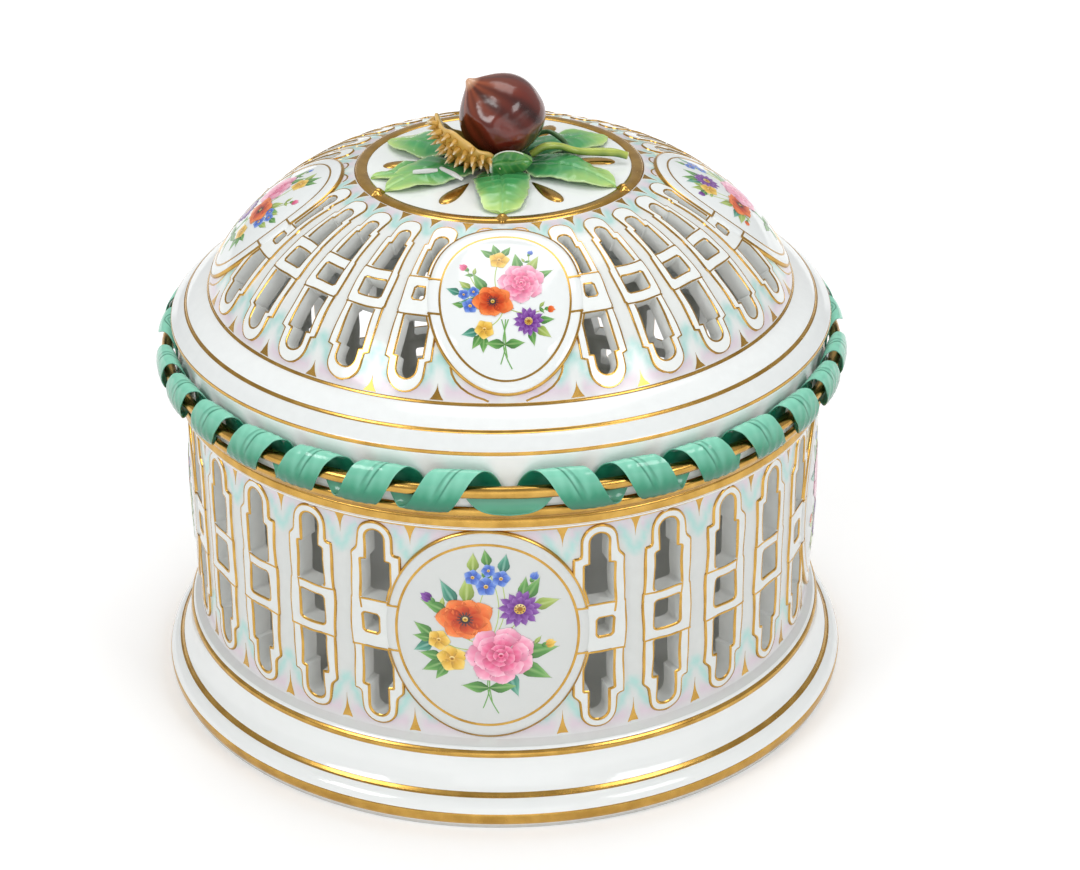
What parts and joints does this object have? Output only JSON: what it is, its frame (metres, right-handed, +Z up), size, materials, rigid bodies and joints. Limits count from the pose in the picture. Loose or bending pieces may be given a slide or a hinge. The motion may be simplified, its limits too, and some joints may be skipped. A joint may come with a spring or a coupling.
{
  "type": "chestnut pot",
  "caption": "Round lidded pot in pierced and gilt porcelain, with a domed lid, a ribbon wound round its cornice and a chestnut in its husk as the knob.",
  "frame": {"origin": "under the middle of the foot ring, at the level that the pot stands on", "axes": "+Z up through the knob, -Y towards the front medallion, +X to the right of someone who faces it"},
  "size_m": [0.2394, 0.24, 0.2142],
  "materials": {
    "glaze": "gloss",
    "gold": "burnished gilding",
    "ribbon": "gloss",
    "leaf": "gloss",
    "twig": "gloss",
    "tendril": "gloss",
    "husk": "gloss",
    "nut": "gloss"
  },
  "bodies": {
    "pot": {"base_plinth": "glaze", "pot_floor": "glaze", "pierced_wall": "glaze", "pot_rim": "gold", "wall_medallion_front": "glaze", "wall_medallion_right": "glaze", "wall_medallion_back": "glaze", "wall_medallion_left": "glaze"},
    "lid": {"lid_flange": "glaze", "lid_cornice": "glaze", "pierced_dome": "glaze", "crown_plate": "glaze", "crown_ring": "gold", "rim_rod": "gold", "dome_medallion_front": "glaze", "dome_medallion_right": "glaze", "dome_medallion_back": "glaze", "dome_medallion_left": "glaze", "ribbon_1": "ribbon", "ribbon_2": "ribbon", "ribbon_3": "ribbon", "ribbon_4": "ribbon", "leaf_1": "leaf", "leaf_2": "leaf", "leaf_3": "leaf", "leaf_4": "leaf", "leaf_5": "leaf", "leaf_6": "leaf", "gilt_ray_1": "gold", "gilt_ray_2": "gold", "gilt_ray_3": "gold", "gilt_ray_4": "gold", "gilt_ray_5": "gold", "gilt_ray_6": "gold", "gilt_bead_1": "gold", "gilt_bead_2": "gold", "gilt_bead_3": "gold", "gilt_bead_4": "gold", "stem_boss": "tendril", "bud_leaf": "leaf", "twig": "twig", "tendril": "tendril", "husk": "husk", "chestnut": "nut"}
  },
  "joints": [
    {"name": "lid_lift", "type": "slide", "parent": "pot", "child": "lid", "axis": [0, 0, 1], "range_m": [0, 0.15]}
  ]
}
